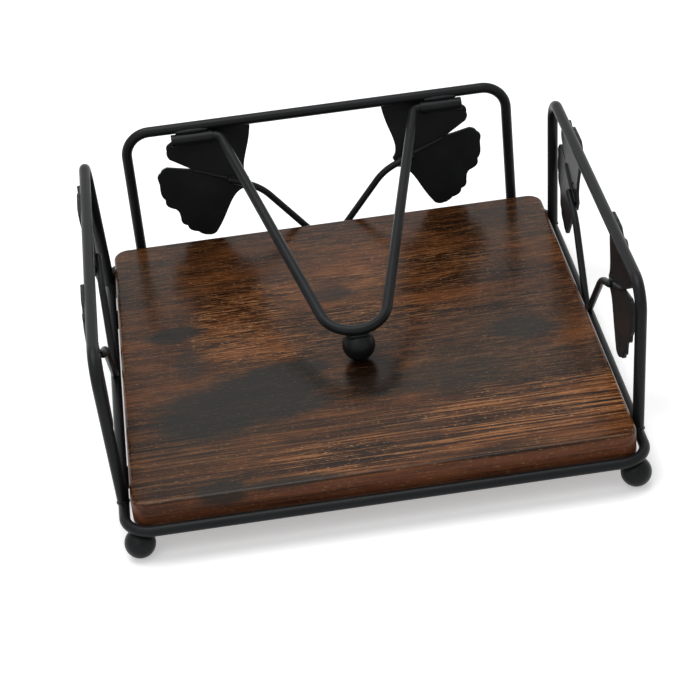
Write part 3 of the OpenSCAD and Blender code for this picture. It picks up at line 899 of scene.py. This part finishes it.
def weld_tree():
    tree, given = new_tree("weld_bead", {
        "Bead radius": NUMBER, "Step": NUMBER, "Lump size": NUMBER, "Lump depth": NUMBER,
        "Seed": NUMBER, "Finish": FINISH})
    path = add(tree, "GeometryNodeMeshToCurve", {0: given["Geometry"]}).outputs[0]
    even = add(tree, "GeometryNodeResampleCurve", {"Curve": path, "Length": given["Step"]},
               mode="LENGTH").outputs[0]
    here = add(tree, "GeometryNodeInputPosition").outputs[0]
    fine = calc(tree, "DIVIDE", 1.0, given["Lump size"])
    scaled = add(tree, "ShaderNodeVectorMath", {0: here, "Scale": fine}, operation="SCALE")
    lumps = add(tree, "ShaderNodeTexNoise",
                {"Vector": scaled.outputs[0], "W": given["Seed"], "Scale": 1.0, "Detail": 2.0},
                noise_dimensions="4D")
    swell = 1.0 + (Field(tree, lumps.outputs[0]) - 0.5) * Field(tree, given["Lump depth"]) * 2.0
    ring = add(tree, "GeometryNodeCurvePrimitiveCircle",
               {"Resolution": BEAD_SIDES, "Radius": given["Bead radius"]}).outputs[0]
    bead = add(tree, "GeometryNodeCurveToMesh",
               {"Curve": even, "Profile Curve": ring, "Fill Caps": True,
                "Scale": swell * number_on_point(tree, "thick")}).outputs[0]
    end_tree(tree, without_numbers(tree, bead), given["Finish"])
    return tree


WELD = weld_tree()


def bead_mesh(points, radius, closed=False, lump_depth=0.35):
    """A weld bead along some points; an open bead tapers at both ends."""
    last = len(points) - 1
    corners = []
    for i, point in enumerate(points):
        taper = 1.0 if closed else max(0.08, sin(pi * (0.06 + 0.88 * i / last)) ** 0.5)
        corners.append((point, 0.0, taper))
    return run_tree(path_object(corners, closed), WELD, bead_radius=radius, step=0.3 * MM,
                    lump_size=1.6 * MM, lump_depth=lump_depth, seed=7.0, finish=black_coat)

# %% [markdown]
# Where a leg stands on the ring, the seam is a saddle: it rises over the wire
# and falls on both sides. The same shape fits the foot of a stem, which is
# thinner and leans.

# %% Weld seams on the ring
SADDLE_STEPS = 28
SADDLE_LOWEST = 0.45
LEG_BEAD = 0.3 * MM
STEM_BEAD = 0.16 * MM


def saddle(plane, at, wire, slope, bead):
    """Seam round a wire that stands on the ring at a place in a hoop's plane."""
    across = wire / 2 + 0.1 * bead
    ring_radius = RING_WIRE / 2
    lowest = SADDLE_LOWEST * ring_radius
    points = []
    for i in range(SADDLE_STEPS):
        turn = 2 * pi * i / SADDLE_STEPS
        out = across * sin(turn)
        height = sqrt(max(ring_radius ** 2 - out ** 2, lowest ** 2)) + 0.35 * bead
        lean = height / tan(slope) if abs(slope) < pi / 2 else 0.0
        along = at.x + lean + across * cos(turn) / sin(abs(slope))
        points.append(plane @ Vector((along, at.y + out, height)))
    return points


seams = []
for name, plane, half in HOOPS:
    for side in (-1, 1):
        ring_seam = saddle(plane, Vector((side * half, 0, 0)), HOOP_WIRE, pi / 2, LEG_BEAD)
        seams.append(bead_mesh(ring_seam, LEG_BEAD, closed=True))
for name, plane, side, base_x in LEAVES:
    foot = stem_corners(side, base_x)[0]
    stem_seam = saddle(plane, foot, STEM_WIRE, side * STEM_SLOPE, STEM_BEAD)
    seams.append(bead_mesh(stem_seam, STEM_BEAD, closed=True))
finish_piece("ring_welds", joined(seams), black_coat, "holder")
print("ring welds:", tally["ring_welds"], "triangles")

# %% [markdown]
# The leaves are held in two places. Two tacks in the crease below the rail hold
# the plate, and two thin beads run along the stem's lap. The torch also left two
# drops of spatter beside the vein. They are half-sunk balls, since bump alone
# would leave the outline smooth.

# %% Weld seams on the leaves
def line(start, end, steps=10):
    return [start.lerp(end, i / steps) for i in range(steps + 1)]


def spatter(centre, radius):
    """A frozen drop of steel, half sunk into the plate."""
    work = bmesh.new()
    squash = Matrix.Translation(centre) @ Matrix.Diagonal((1.15, 0.8, 1, 1))
    bmesh.ops.create_icosphere(work, subdivisions=3, radius=radius, matrix=squash)
    made = bpy.data.meshes.new("drop")
    work.to_mesh(made)
    work.free()
    return made


# From and to, along the rail from the leaf's base
TACKS = ((-1.5 * MM, 4 * MM), (11 * MM, 17 * MM))
TACK_BEAD = 0.8 * MM
tack_y, tack_z = 0.7 * HOOP_WIRE / 2, RAIL_H - 0.42 * HOOP_WIRE
LAP_BEAD = 0.55 * MM
LAP_SEAM = (1.5 * MM, 8 * MM)
# Reach, offset and radius of each drop
DROPS = ((4.3 * MM, 3.8 * MM, 0.42 * MM), (9.6 * MM, 3.1 * MM, 0.5 * MM))
seams = []
for name, plane, side, base_x in LEAVES:
    for tack in TACKS:
        ends = [plane @ Vector((side * (base_x + x), tack_y, tack_z)) for x in tack]
        seams.append(bead_mesh(line(*ends), TACK_BEAD))
    place = leaf_matrix(plane, side, base_x)
    for offset in (-1.0 * MM, 1.0 * MM):
        ends = [place @ Vector((reach, offset, LEAF_T / 2 + 0.2 * MM)) for reach in LAP_SEAM]
        seams.append(bead_mesh(line(*ends), LAP_BEAD))
    for reach, offset, radius in DROPS:
        seams.append(spatter(place @ Vector((reach, offset, LEAF_T / 2)), radius))
finish_piece("leaf_welds", joined(seams), black_coat, "holder")
print("leaf welds:", tally["leaf_welds"], "triangles")

# %% [markdown]
# ## Balls
# The feet and the arm's weight are steel balls. Each is welded to its wire, so a
# small collar of weld fills the crease between ball and wire. A bare sphere that
# just touches the wire would look as if it could fall off, so ball and collar are
# turned from one profile, as on a lathe. The arm's ball can be seen from close by
# and gets two lumpy beads where the bend lies on it.

# %% Balls with a weld collar
def turned(profile, steps=48):
    """A closed mesh turned from a profile of (radius, height) about Z."""
    work = bmesh.new()
    rows = []
    for radius, height in profile:
        if radius < 1e-7:
            rows.append([work.verts.new((0, 0, height))])
        else:
            turns = [2 * pi * i / steps for i in range(steps)]
            rows.append([work.verts.new((radius * cos(a), radius * sin(a), height)) for a in turns])
    for low, high in zip(rows, rows[1:]):
        for i in range(steps):
            near, far = low[i % len(low)], low[(i + 1) % len(low)]
            # A pole is one point for all steps, so the repeated point drops out
            ring = [near, far, high[(i + 1) % len(high)], high[i % len(high)]]
            work.faces.new(dict.fromkeys(ring))
    made = bpy.data.meshes.new("turned")
    work.to_mesh(made)
    work.free()
    return made


def ball_mesh(radius, collar, neck, steps=26, collar_steps=6):
    """A ball whose top swells into the weld collar that holds it to its wire."""
    start = asin(collar / radius)
    turns = [pi * i / steps for i in range(steps)]
    profile = [(radius * sin(a), -radius * cos(a)) for a in turns if a < pi - start]
    top = radius * cos(start)
    for i in range(1, collar_steps + 1):
        share = i / collar_steps
        profile.append((collar * (1 - 0.22 * sin(pi * share)) - 0.1 * collar * share,
                        top + (radius + neck - top) * share))
    profile.append((0, radius + neck))
    return turned(profile)


foot_low, foot_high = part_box("foot_front_left")
FOOT_D = foot_high.x - foot_low.x
FOOT_INSET = 4.2 * MM
foot_x, foot_y = RING_HALF_X - FOOT_INSET, RING_HALF_Y - FOOT_INSET
for row, sy in (("front", -1), ("back", 1)):
    for column, sx in (("left", -1), ("right", 1)):
        name = row + "_" + column
        ball = ball_mesh(FOOT_D / 2, 2.1 * MM, 0.8 * MM)
        ball.transform(Matrix.Translation((sx * foot_x, RING_Y + sy * foot_y, FOOT_D / 2)))
        finish_piece("ball_foot_" + name, ball, black_coat, "holder", ["foot_" + name])
print("foot ball: %.1f mm" % (FOOT_D / MM))

# %% The arm's ball and its weld
BALL_BEAD = 0.85 * MM
BALL_BEAD_HALF = 3.6 * MM
BALL_BEAD_Z = 1.75 * MM
ball = ball_mesh(BALL_D / 2, 2.3 * MM, 0.9 * MM)
ball.transform(ARM @ Matrix.Translation((0, ARM_REACH, BALL_OFF)) @ Matrix.Rotation(pi, 4, "X"))
finish_piece("arm_ball_weight", ball, black_coat, "arm", ["arm_ball"])
ball_beads = []
for out in (-1, 1):
    bead_y = ARM_REACH + out * 1.9 * MM - 0.4 * MM
    ends = [ARM @ Vector((side * BALL_BEAD_HALF, bead_y, BALL_BEAD_Z)) for side in (-1, 1)]
    ball_beads.append(bead_mesh(line(*ends, steps=14), BALL_BEAD, lump_depth=0.55))
finish_piece("arm_ball_beads", joined(ball_beads), black_coat, "arm")
print("arm ball: %.1f mm" % (BALL_D / MM))

# %% [markdown]
# ## Hinge sleeves
# The arm's two pins turn in short tubes below the back rail. A tube is turned
# from its section, with broken edges at the lips, because a cylinder without a
# wall would show no bore at its ends. A weld bead fills the crease between tube
# and rail on each side, and stays clear of the pin inside.

# %% The sleeves
def sleeve_mesh(bore, outside, length, lip=0.12 * MM):
    """A tube along +X from the origin."""
    r, s = bore / 2, outside / 2
    section = [(r, lip), (r + lip, 0), (s - lip, 0), (s, lip),
               (s, length - lip), (s - lip, length), (r + lip, length), (r, length - lip), (r, lip)]
    tube = turned(section)
    tube.transform(Matrix.Rotation(pi / 2, 4, "Y"))
    return outward(tube, merge=0.001 * MM)


SLEEVE_SLOPE = radians(56)
to_rail = Vector((0, cos(SLEEVE_SLOPE), sin(SLEEVE_SLOPE)))
WELD_LEN = 13 * MM
SLEEVE_BEAD = 1.0 * MM
crease = HINGE + to_rail * (SLEEVE_D / 2 + 0.45 * MM)
sideways = Vector((0, -to_rail.z, to_rail.y))
for name, side in (("left", -1), ("right", 1)):
    tube = sleeve_mesh(SLEEVE_BORE, SLEEVE_D, SLEEVE_END - SLEEVE_X)
    tube.transform(Matrix.Translation(HINGE) @ Matrix.Diagonal((side, 1, 1, 1))
                   @ Matrix.Translation((SLEEVE_X, 0, 0)))
    finish_piece("hinge_sleeve_" + name, tube, black_coat, "holder", ["sleeve_" + name])
    middle = (SLEEVE_X + SLEEVE_END) / 2
    ends = [crease + Vector((side * (middle + half * WELD_LEN / 2), 0, 0)) for half in (-1, 1)]
    beads = []
    for lift in (-1, 1):
        shift = sideways * lift * 1.3 * MM
        beads.append(bead_mesh(line(ends[0] + shift, ends[1] + shift, 24), SLEEVE_BEAD))
    finish_piece("sleeve_bead_" + name, joined(beads), black_coat,
                 "holder", ["sleeve_weld_" + name])
print("sleeves: %.1f mm long" % ((SLEEVE_END - SLEEVE_X) / MM))

# %% [markdown]
# ## Board
# The board is a slab with four rounded corners and rounded arrises. A cube with
# one Bevel would give both the same radius, and here they differ, so rings of
# points go up its rim: each is the same rounded outline, drawn in by the round
# of the arris. Two more rings just inside the rim keep the big top face flat to
# the eye, because smooth shading would bend its light towards the arris.

# %% The board
BOARD_CORNER = 6 * MM
BOARD_ARRIS = 1.5 * MM
CORNER_STEPS = 16
ARRIS_STEPS = 10


def rounded_outline(half_x, half_y, corner, inset, centre_y, z):
    """Points of a rounded rectangle, drawn in by inset."""
    radius = corner - inset
    points = []
    for quarter, (sx, sy) in enumerate(((1, 1), (-1, 1), (-1, -1), (1, -1))):
        for i in range(CORNER_STEPS + 1):
            turn = pi / 2 * (quarter + i / CORNER_STEPS)
            points.append((sx * (half_x - corner) + radius * cos(turn),
                           centre_y + sy * (half_y - corner) + radius * sin(turn), z))
    return points


def board_mesh():
    half = (board_high - board_low) / 2
    centre_y = (board_high.y + board_low.y) / 2
    turns = [pi / 2 * i / ARRIS_STEPS for i in range(ARRIS_STEPS + 1)]
    arris = [(BOARD_ARRIS * (1 - sin(a)), BOARD_ARRIS * (1 - cos(a))) for a in turns]
    levels = [(BOARD_ARRIS + extra * MM, board_low.z) for extra in (1.2, 0.3)]
    levels += [(inset, board_low.z + rise) for inset, rise in arris]
    levels += [(inset, board_high.z - rise) for rise, inset in arris]
    levels += [(BOARD_ARRIS + extra * MM, board_high.z) for extra in (0.3, 1.2)]
    work = bmesh.new()
    rows = []
    for inset, z in levels:
        outline = rounded_outline(half.x, half.y, BOARD_CORNER, inset, centre_y, z)
        rows.append([work.verts.new(point) for point in outline])
    count = len(rows[0])
    for low, high in zip(rows, rows[1:]):
        for i in range(count):
            work.faces.new((low[i], low[(i + 1) % count], high[(i + 1) % count], high[i]))
    work.faces.new(rows[0][::-1])
    work.faces.new(rows[-1])
    made = bpy.data.meshes.new("board")
    work.to_mesh(made)
    work.free()
    return made


finish_piece("wood_board", board_mesh(), wood, "holder", ["board"])
print("board: %.1f x %.1f mm" % tuple((board_high - board_low).xy / MM))

# %% [markdown]
# ## Straps and screws
# Two flat straps under the board carry it, with two screws each. The packed
# straps have the right shape, so they only get the coat. The screws repeat, so
# one is modelled and a tree sets it on four points. Each is turned by a random
# angle from a fixed seed, as screws are when someone drives them.

# %% Finish on the straps
for name in ("strap_front", "strap_back"):
    strap = frame["nodes"][name]
    strap.data.materials.clear()
    strap.data.materials.append(black_coat)
    print(name, "has the coat")

# %% One screw
SCREW_D = 3.5 * MM
HEAD_D = 7 * MM
HEAD_H = 2.2 * MM
STRAP_T = 1.5 * MM
SCREW_LEN = 8.5 * MM
SCREW_TIP = 1.5 * MM
# Length, width and depth of one bar of the cross in a screw's head
CROSS = (4.2 * MM, 0.9 * MM, 2.4 * MM)


def screw_object(steps=8):
    """A pan-head screw that points up, with a cross recess; the head's seat is at Z 0."""
    turns = [pi / 2 * i / steps for i in range(steps + 1)]
    head = [(HEAD_D / 2 * sin(a), -HEAD_H + HEAD_H * 0.75 * (1 - cos(a))) for a in turns]
    shank = [(HEAD_D / 2, 0), (SCREW_D / 2, 0), (SCREW_D / 2, SCREW_LEN - SCREW_TIP),
             (0, SCREW_LEN)]
    screw = linked(outward(turned([(0, -HEAD_H)] + head[1:] + shank, steps=36)), "screw")
    work = bmesh.new()
    for turn in (0, pi / 2):
        bar = (Matrix.Translation((0, 0, -HEAD_H)) @ Matrix.Rotation(turn, 4, "Z")
               @ Matrix.Diagonal((*CROSS, 1)))
        bmesh.ops.create_cube(work, size=1.0, matrix=bar)
    cross = linked(bpy.data.meshes.new("cross"))
    work.to_mesh(cross.data)
    work.free()
    cut = screw.modifiers.new("cross", "BOOLEAN")
    cut.object, cut.operation, cut.use_self = cross, "DIFFERENCE", True
    made = linked(evaluated(screw), "screw")
    bpy.data.objects.remove(cross)
    return made

# %% Four screws on their points
def screw_tree():
    tree, given = new_tree("strap_screws", {
        "Screw": "NodeSocketObject", "Seed": COUNT, "Finish": FINISH})
    one = add(tree, "GeometryNodeObjectInfo", {"Object": given["Screw"]}).outputs["Geometry"]
    turn = add(tree, "FunctionNodeRandomValue", {"Seed": given["Seed"]}, data_type="FLOAT")
    turn.inputs[3].default_value = pi
    euler = add(tree, "ShaderNodeCombineXYZ", {2: turn.outputs[1]}).outputs[0]
    points = add(tree, "GeometryNodeMeshToPoints", {"Mesh": given["Geometry"]}).outputs[0]
    placed = add(tree, "GeometryNodeInstanceOnPoints",
                 {"Points": points, "Instance": one, "Rotation": euler})
    end_tree(tree, placed.outputs[0], given["Finish"])
    return tree


screw_low, screw_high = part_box("board_screws")
reach_x = screw_high.x - HEAD_D / 2
reach_y = (screw_high.y - screw_low.y - HEAD_D) / 2
seat_z = board_low.z - STRAP_T
places = [(sx * reach_x, RING_Y + sy * reach_y, seat_z) for sx in (-1, 1) for sy in (-1, 1)]
dots = bpy.data.meshes.new("screw_points")
dots.from_pydata(places, [], [])
one_screw = screw_object()
screws = run_tree(linked(dots), screw_tree(), screw=one_screw, seed=3, finish=zinc)
bpy.data.objects.remove(one_screw)
finish_piece("strap_screws", screws, zinc, "holder", ["board_screws"])
print("screws:", tally["strap_screws"], "triangles")

# %% [markdown]
# ## Camera
# The camera stands where the photographer stood: a little to the left of the
# holder, about 34 degrees above it and 0.85 m away, with a long lens. Its three
# axes were found from the edges of the board and the ring.

# %% The camera
CAMERA_AT = Vector((-0.0509043, -0.7033200, 0.4704392))
CAMERA_RIGHT = Vector((0.988685, -0.123597, -0.085009))
CAMERA_UP = Vector((0.138326, 0.531904, 0.83543))
CAMERA_BACK = Vector((-0.05804, -0.837736, 0.542982))
LENS = 111.771
camera = linked(bpy.data.cameras.new("camera"), "camera")
axes = Matrix((CAMERA_RIGHT, CAMERA_UP, CAMERA_BACK)).transposed()
camera.matrix_world = Matrix.Translation(CAMERA_AT) @ axes.to_4x4()
camera.data.lens = LENS
camera.data.sensor_width = 36
camera.data.clip_start = 0.01
bpy.context.scene.camera = camera
print("camera: %.2f m from the origin, %.0f mm lens" % (CAMERA_AT.length, LENS))

# %% [markdown]
# ## Floor, backdrop and light
# The photograph is a plain product shot: a white sweep, a big soft light above
# and a soft shadow close to the feet. The floor is pale and really lit, so it
# keeps the shadow, and Light Path lifts it to white for the camera and for
# reflections only. Far from the holder the lamps reach the floor less, so the lift
# grows there. The world is white to those same rays, and dimmer as a light.

# %% Floor
FLOOR_COLOUR = (0.8, 0.8, 0.8, 1)
FLOOR_LIFT = 0.37
FAR_LIFT = 0.62
FAR_FROM = 0.3
FAR_FULL = 1.2
FLOOR_HALF = 3.0


def seen_or_mirrored(tree):
    """1 for rays from the camera and for mirrored or refracted ones, else 0."""
    rays = add(tree, "ShaderNodeLightPath")
    seen = Field(tree, rays.outputs["Is Camera Ray"])
    seen = seen.calc("MAXIMUM", rays.outputs["Is Glossy Ray"])
    return seen.calc("MAXIMUM", rays.outputs["Is Transmission Ray"])


def floor_material():
    made = bpy.data.materials.new("floor")
    made.use_nodes = True
    tree = made.node_tree
    tree.nodes.clear()
    matt = add(tree, "ShaderNodeBsdfDiffuse", {"Color": FLOOR_COLOUR})
    here = add(tree, "ShaderNodeTexCoord").outputs["Object"]
    lift = spread(distance(tree, here), FAR_FROM, FAR_FULL, FLOOR_LIFT, FAR_LIFT)
    glow = add(tree, "ShaderNodeEmission", {"Strength": seen_or_mirrored(tree) * lift})
    both = add(tree, "ShaderNodeAddShader", {0: matt.outputs[0], 1: glow.outputs[0]})
    add(tree, "ShaderNodeOutputMaterial", {0: both.outputs[0]})
    return made


floor_corners = [(sx * FLOOR_HALF, sy * FLOOR_HALF, 0)
                 for sx, sy in ((-1, -1), (1, -1), (1, 1), (-1, 1))]
sheet = bpy.data.meshes.new("floor")
sheet.from_pydata(floor_corners, [], [(0, 1, 2, 3)])
sheet.materials.append(floor_material())
floor = linked(sheet, "floor")
floor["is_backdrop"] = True

# %% World and lamps
WORLD_LIGHT = 0.55


def light_world():
    world = bpy.data.worlds.new("studio")
    bpy.context.scene.world = world
    world.use_nodes = True
    tree = world.node_tree
    tree.nodes.clear()
    level = seen_or_mirrored(tree) * (1.0 - WORLD_LIGHT) + WORLD_LIGHT
    sky = add(tree, "ShaderNodeBackground", {"Color": (1, 1, 1, 1), "Strength": level})
    add(tree, "ShaderNodeOutputWorld", {0: sky.outputs[0]})


def softbox(name, at, size, power):
    """A square lamp that looks at the middle of the board."""
    lamp = bpy.data.lights.new(name, "AREA")
    lamp.shape, lamp.size, lamp.energy = "SQUARE", size, power
    made = linked(lamp, name)
    made.location = at
    aim = Vector((0, 0, BOARD_TOP)) - Vector(at)
    made.rotation_euler = aim.to_track_quat("-Z", "Y").to_euler()


light_world()
softbox("top_softbox", (-0.15, 0.1, 1.1), 0.9, 9.0)
softbox("front_softbox", (-0.6, -0.9, 0.9), 0.9, 2.2)
bpy.context.scene.view_settings.view_transform = "Standard"
print("lights:", [thing.name for thing in bpy.data.lights])

# %% [markdown]
# ## Last look at the sizes
# The script prints how far the dressed model's box differs from the imported
# one's, and what each piece costs.

# %% Sizes and the end
model_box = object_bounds()
for label, cad, model in zip(("low", "high"), cad_box, model_box):
    print(label, "corner differs by %.2f, %.2f, %.2f mm" % tuple((model - cad) / MM))
print(len(tally), "pieces,", sum(tally.values()), "triangles")
